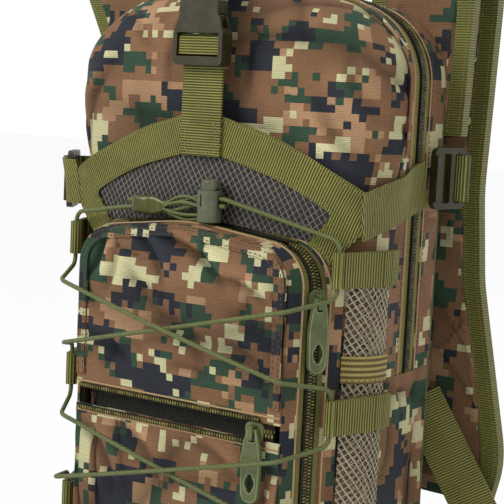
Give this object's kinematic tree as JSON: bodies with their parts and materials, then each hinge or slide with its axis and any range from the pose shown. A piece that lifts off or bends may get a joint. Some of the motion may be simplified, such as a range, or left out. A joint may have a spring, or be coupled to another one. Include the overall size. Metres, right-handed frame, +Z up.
{
  "type": "hunting backpack",
  "caption": "Small camouflage hunting daypack with zipped front pockets, corded bungee lacing, a buckled stow flap, side nets and padded shoulder straps.",
  "frame": {"origin": "on the ground under the middle of the bag, at the plane its depth is measured from", "axes": "+X towards the side with the zip seam, +Y from the front to the wearer's back, +Z up"},
  "size_m": [0.3238, 0.1618, 0.4415],
  "materials": {
    "camo": "pixel camouflage ripstop",
    "lining": "plain woven lining",
    "padding": "padded olive fabric",
    "piping": "corded seam edge",
    "zip_tape": "woven zip tape",
    "zip_teeth": "nylon coil",
    "mesh": "open knitted net",
    "elastic": "ribbed elastic",
    "webbing": "ribbed woven webbing",
    "hardware": "moulded acetal",
    "pull": "soft moulded plastic",
    "keeper": "smooth sleeve",
    "cord": "braided cover over elastic",
    "spring": "drawn wire"
  },
  "bodies": {
    "pack": {"front_panel": "camo", "front_gusset": "camo", "rear_gusset": "camo", "lower_gusset": "camo", "main_zip_tape": "zip_tape", "main_zip_teeth": "zip_teeth", "back_panel": "padding", "divider_sleeve": "lining", "back_pad": "padding", "lumbar_pad": "padding", "front_piping": "piping", "pocket_rear_gusset": "camo", "pocket_front_gusset": "camo", "pocket_zip_tape": "zip_tape", "pocket_zip_teeth": "zip_teeth", "pocket_upper_panel": "camo", "pocket_seam_band": "camo", "lower_pocket_panel": "camo", "pocket_divider": "lining", "lower_zip_teeth": "zip_teeth", "flap_mesh": "mesh", "flap_webbing": "webbing", "centre_strap_lower": "webbing", "buckle_female": "hardware", "buckle_male": "hardware", "centre_strap_upper": "webbing", "side_strap_right": "webbing", "side_strap_left": "webbing", "lock_anchor_right": "webbing", "lock_anchor_left": "webbing", "cord_loops_right": "webbing", "cord_loops_left": "webbing", "side_net_right": "mesh", "side_net_left": "mesh", "net_elastic_right": "elastic", "net_elastic_left": "elastic", "bungee_cord": "cord", "cord_keeper": "keeper", "cord_lock_barrel": "hardware", "cord_lock_spring": "spring", "shoulder_strap_right": "camo", "strap_binding_right": "webbing", "shoulder_strap_left": "camo", "strap_binding_left": "webbing", "adjuster_right": "webbing", "adjuster_left": "webbing", "haul_loop": "webbing"},
    "prong_right": {"buckle_prong_right": "hardware"},
    "prong_left": {"buckle_prong_left": "hardware"},
    "ladder_lock_right": {"ladder_lock_right": "hardware"},
    "ladder_lock_left": {"ladder_lock_left": "hardware"},
    "cord_lock_button": {"cord_lock_button": "hardware"},
    "pocket_slider": {"pocket_slider": "pull"},
    "pocket_pull": {"pocket_pull": "pull"},
    "lower_slider": {"lower_slider": "pull"},
    "lower_pull": {"lower_pull": "pull"},
    "main_slider": {"main_slider": "pull"},
    "main_pull": {"main_pull": "pull"}
  },
  "joints": [
    {"name": "prong_right_squeeze", "type": "hinge", "parent": "pack", "child": "prong_right", "pos_m": [0.0086, -0.0561, 0.401], "axis": [0, 1, 0], "range_deg": [0, 7], "stiffness_Nm_per_rad": 0.05, "springref_deg": -1.72},
    {"name": "prong_left_squeeze", "type": "hinge", "parent": "pack", "child": "prong_left", "pos_m": [-0.0086, -0.0561, 0.401], "axis": [0, 1, 0], "range_deg": [-7, 0], "stiffness_Nm_per_rad": 0.05, "springref_deg": 1.72},
    {"name": "ladder_right_tilt", "type": "hinge", "parent": "pack", "child": "ladder_lock_right", "pos_m": [0.1049, 0.0444, 0.3105], "axis": [0, 0, 1], "range_deg": [0, 35]},
    {"name": "ladder_left_tilt", "type": "hinge", "parent": "pack", "child": "ladder_lock_left", "pos_m": [-0.11908, -0.01175, 0.296], "axis": [0, 0, 1], "range_deg": [-35, 0]},
    {"name": "cord_lock_press", "type": "slide", "parent": "pack", "child": "cord_lock_button", "axis": [0, 0, 1], "range_m": [-0.0035, 0], "stiffness_N_per_m": 500, "springref_m": 0.002, "deforming": ["cord_lock_spring"]},
    {"name": "pocket_zip_run", "type": "slide", "parent": "pack", "child": "pocket_slider", "axis": [0, 0, 1], "range_m": [-0.17, 0]},
    {"name": "pocket_pull_lift", "type": "hinge", "parent": "pocket_slider", "child": "pocket_pull", "pos_m": [0.07705, -0.0537, 0.2502], "axis": [-0.4743, -0.8804, 0], "range_deg": [0, 12]},
    {"name": "lower_zip_run", "type": "slide", "parent": "pack", "child": "lower_slider", "axis": [1, 0, 0], "range_m": [-0.098, 0]},
    {"name": "lower_pull_lift", "type": "hinge", "parent": "lower_slider", "child": "lower_pull", "pos_m": [0.053, -0.07247, 0.1827], "axis": [-1, 0, 0], "range_deg": [0, 10]},
    {"name": "main_zip_run", "type": "slide", "parent": "pack", "child": "main_slider", "axis": [0, 0, 1], "range_m": [-0.043, 0]},
    {"name": "main_pull_lift", "type": "hinge", "parent": "main_slider", "child": "main_pull", "pos_m": [-0.09765, 0.013, 0.2632], "axis": [0, 1, 0], "range_deg": [0, 100]}
  ],
  "couplings": [
    {"joint": "prong_left_squeeze", "follows": "prong_right_squeeze", "ratio": -1}
  ]
}
